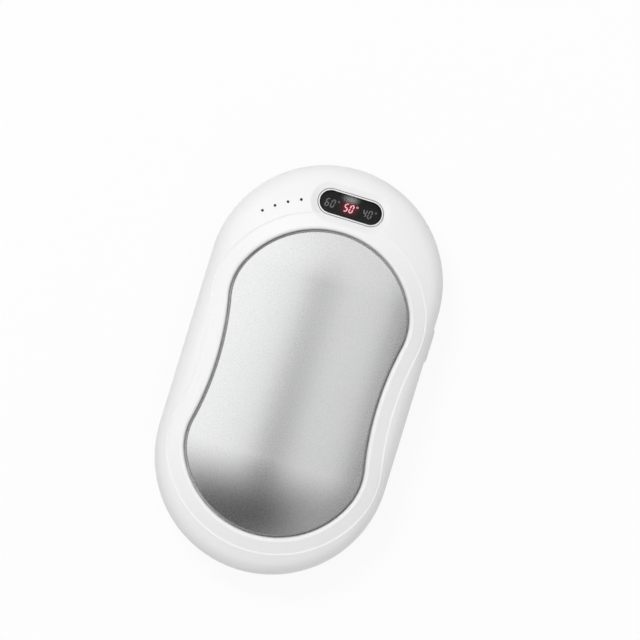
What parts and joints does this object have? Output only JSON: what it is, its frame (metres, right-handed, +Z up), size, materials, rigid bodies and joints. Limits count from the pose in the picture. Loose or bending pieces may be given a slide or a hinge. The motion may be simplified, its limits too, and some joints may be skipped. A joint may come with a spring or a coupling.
{
  "type": "rechargeable hand warmer",
  "caption": "Palm-sized rechargeable hand warmer: a white pebble-shaped case with waisted aluminium heat plates, a small temperature display and a side power button.",
  "frame": {"origin": "centre of the flat on the rear heat plate that the warmer rests on, under the middle of the body", "axes": "+X across the body to the button side, +Y along it towards the display, +Z up through the front plate"},
  "size_m": [0.0624, 0.11, 0.0261],
  "materials": {
    "shell": "satin white moulding",
    "plate": "bead-blasted",
    "adhesive": "black foam tape",
    "film": "amber film",
    "foam": "closed-cell foam",
    "cell": "plain shrink sleeve",
    "nickel": "bright strip",
    "cradle": "black moulding",
    "board": "green solder mask",
    "chip": "black moulded case",
    "ferrite": "dark ferrite",
    "capacitor": "tan ceramic",
    "socket": "stamped steel",
    "tongue": "black moulding",
    "bezel": "white gloss",
    "window": "smoked clear",
    "module": "black",
    "lit": "lit red",
    "unlit": "unlit grey",
    "light_guide": "dark clear",
    "led": "small lamp",
    "button": "satin white moulding",
    "switch": "black moulding",
    "plunger": "natural nylon",
    "screw": "zinc plated",
    "red_lead": "red sleeve",
    "black_lead": "black sleeve",
    "white_lead": "white sleeve"
  },
  "bodies": {
    "case": {"front_shell": "shell", "rear_shell": "shell", "front_heat_plate": "plate", "rear_heat_plate": "plate", "front_plate_adhesive": "adhesive", "rear_plate_adhesive": "adhesive", "front_heater_film": "film", "rear_heater_film": "film", "front_insulation_pad": "foam", "rear_insulation_pad": "foam", "left_cell": "cell", "right_cell": "cell", "top_cell_strap": "nickel", "bottom_cell_strap": "nickel", "battery_cradle": "cradle", "main_board": "board", "charge_controller": "chip", "power_inductor": "ferrite", "board_capacitors": "capacitor", "charge_port": "socket", "charge_port_tongue": "tongue", "display_bezel": "bezel", "display_window": "window", "display_module": "module", "lit_segments": "lit", "unlit_segments": "unlit", "battery_light_guide": "light_guide", "battery_leds": "led", "switch_body": "switch", "case_screws": "screw", "front_heater_leads": "white_lead", "rear_heater_leads": "white_lead", "heat_sensor": "black_lead", "positive_lead": "red_lead", "negative_lead": "black_lead"},
    "button": {"power_button": "button", "switch_plunger": "plunger"}
  },
  "joints": [
    {"name": "button_press", "type": "slide", "parent": "case", "child": "button", "axis": [-1, 0, 0], "range_m": [0, 0.0004], "stiffness_N_per_m": 4000}
  ]
}
